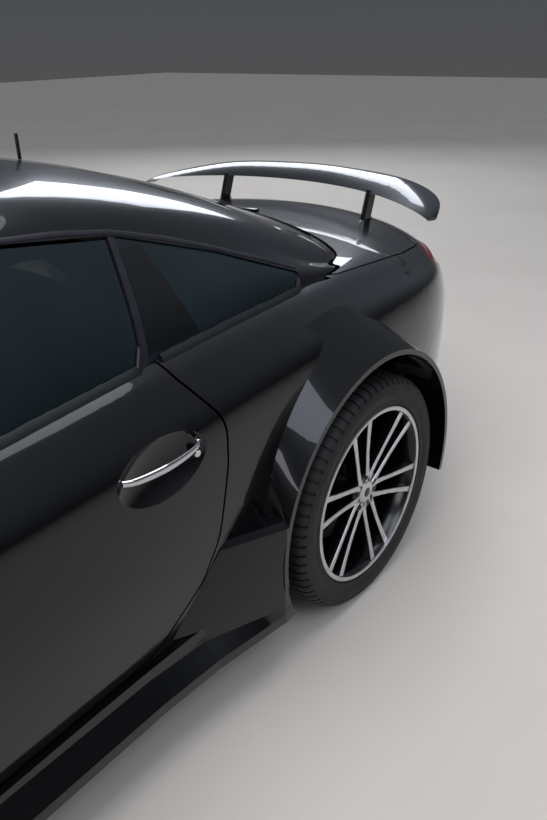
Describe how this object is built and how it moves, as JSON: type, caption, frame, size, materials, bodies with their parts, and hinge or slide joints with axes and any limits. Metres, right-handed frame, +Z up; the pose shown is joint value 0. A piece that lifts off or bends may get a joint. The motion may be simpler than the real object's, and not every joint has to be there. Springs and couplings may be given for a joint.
{
  "type": "coupe car",
  "caption": "Low two-door coupe with widened wheel arches, a raised boot wing, side skirts and multi-spoke alloy wheels; doors, lids, wheels and steering move.",
  "frame": {"origin": "on the ground in the middle of the overall length and width", "axes": "+X forward, +Y to the car's left, +Z up"},
  "size_m": [4.6, 2.094, 1.31],
  "materials": {
    "black_paint": "gloss",
    "frame_paint": "satin",
    "dark_glass": "gloss",
    "lamp_clear": "gloss",
    "lamp_red": "gloss",
    "black_plastic": "matte",
    "satin_trim": "satin",
    "chrome_trim": "gloss",
    "tyre_rubber": "matte",
    "alloy_rim": "machined",
    "disc_iron": "machined",
    "axle_iron": "satin",
    "engine_metal": "cast",
    "exhaust_steel": "brushed",
    "cabin_leather": "satin",
    "dash_plastic": "matte"
  },
  "bodies": {
    "body": {"body_frame": "frame_paint", "roof": "black_paint", "windscreen": "dark_glass", "rear_window": "dark_glass", "quarter_panels": "black_paint", "quarter_windows": "dark_glass", "front_wings": "black_paint", "side_skirts": "black_paint", "front_bumper": "black_paint", "rear_bumper": "black_paint", "diffuser": "black_plastic", "headlamps": "lamp_clear", "tail_lamps": "lamp_red", "grille": "black_plastic", "cowl": "black_plastic", "rear_shelf": "black_plastic", "pillar_strips": "satin_trim", "arch_liners": "black_plastic", "rear_axle": "axle_iron", "front_axle": "axle_iron", "engine": "engine_metal", "exhaust": "exhaust_steel", "dashboard": "dash_plastic", "seats": "cabin_leather", "console": "dash_plastic", "antenna": "black_plastic"},
    "bonnet": {"bonnet": "black_paint"},
    "boot_lid": {"boot_lid": "black_paint"},
    "boot_wing": {"boot_wing": "black_paint"},
    "steering_wheel": {"steering_wheel": "cabin_leather"},
    "door_left": {"door_left": "black_paint", "door_window_left": "dark_glass", "mirror_left": "black_paint", "door_handle_left": "chrome_trim"},
    "knuckle_left": {"knuckle_left": "axle_iron"},
    "wheel_front_left": {"tyre_front_left": "tyre_rubber", "rim_front_left": "alloy_rim", "brake_disc_front_left": "disc_iron"},
    "wheel_rear_left": {"tyre_rear_left": "tyre_rubber", "rim_rear_left": "alloy_rim", "brake_disc_rear_left": "disc_iron"},
    "door_right": {"door_right": "black_paint", "door_window_right": "dark_glass", "mirror_right": "black_paint", "door_handle_right": "chrome_trim"},
    "knuckle_right": {"knuckle_right": "axle_iron"},
    "wheel_front_right": {"tyre_front_right": "tyre_rubber", "rim_front_right": "alloy_rim", "brake_disc_front_right": "disc_iron"},
    "wheel_rear_right": {"tyre_rear_right": "tyre_rubber", "rim_rear_right": "alloy_rim", "brake_disc_rear_right": "disc_iron"}
  },
  "joints": [
    {"name": "spin_rear_left", "type": "hinge", "parent": "body", "child": "wheel_rear_left", "pos_m": [-1.165, 0.815, 0.3515], "axis": [0, 1, 0], "continuous": true},
    {"name": "steer_left", "type": "hinge", "parent": "body", "child": "knuckle_left", "pos_m": [1.395, 0.742, 0.334], "axis": [0, 0, 1], "range_deg": [-33, 33]},
    {"name": "spin_front_left", "type": "hinge", "parent": "knuckle_left", "child": "wheel_front_left", "pos_m": [1.395, 0.822, 0.334], "axis": [0, 1, 0], "continuous": true},
    {"name": "door_left_hinge", "type": "hinge", "parent": "body", "child": "door_left", "pos_m": [0.604, 0.898, 0.55], "axis": [0, 0, -1], "range_deg": [0, 65]},
    {"name": "spin_rear_right", "type": "hinge", "parent": "body", "child": "wheel_rear_right", "pos_m": [-1.165, -0.815, 0.3515], "axis": [0, 1, 0], "continuous": true},
    {"name": "steer_right", "type": "hinge", "parent": "body", "child": "knuckle_right", "pos_m": [1.395, -0.742, 0.334], "axis": [0, 0, 1], "range_deg": [-33, 33]},
    {"name": "spin_front_right", "type": "hinge", "parent": "knuckle_right", "child": "wheel_front_right", "pos_m": [1.395, -0.822, 0.334], "axis": [0, 1, 0], "continuous": true},
    {"name": "door_right_hinge", "type": "hinge", "parent": "body", "child": "door_right", "pos_m": [0.604, -0.898, 0.55], "axis": [0, 0, 1], "range_deg": [0, 65]},
    {"name": "steering_wheel_turn", "type": "hinge", "parent": "body", "child": "steering_wheel", "pos_m": [0.395, 0.37, 0.745], "axis": [-0.9135, 0, 0.4067], "range_deg": [-446, 446]},
    {"name": "bonnet_hinge", "type": "hinge", "parent": "body", "child": "bonnet", "pos_m": [0.828, 0, 0.868], "axis": [0, -1, 0], "range_deg": [0, 55]},
    {"name": "boot_lid_hinge", "type": "hinge", "parent": "body", "child": "boot_lid", "pos_m": [-1.272, 0, 0.919], "axis": [0, 1, 0], "range_deg": [0, 70]},
    {"name": "wing_slide", "type": "slide", "parent": "boot_lid", "child": "boot_wing", "axis": [-0.3383, 0, 0.941], "range_m": [-0.055, 0]}
  ],
  "couplings": [
    {"joint": "steer_right", "follows": "steer_left", "ratio": 1},
    {"joint": "steering_wheel_turn", "follows": "steer_left", "ratio": 13.5}
  ]
}
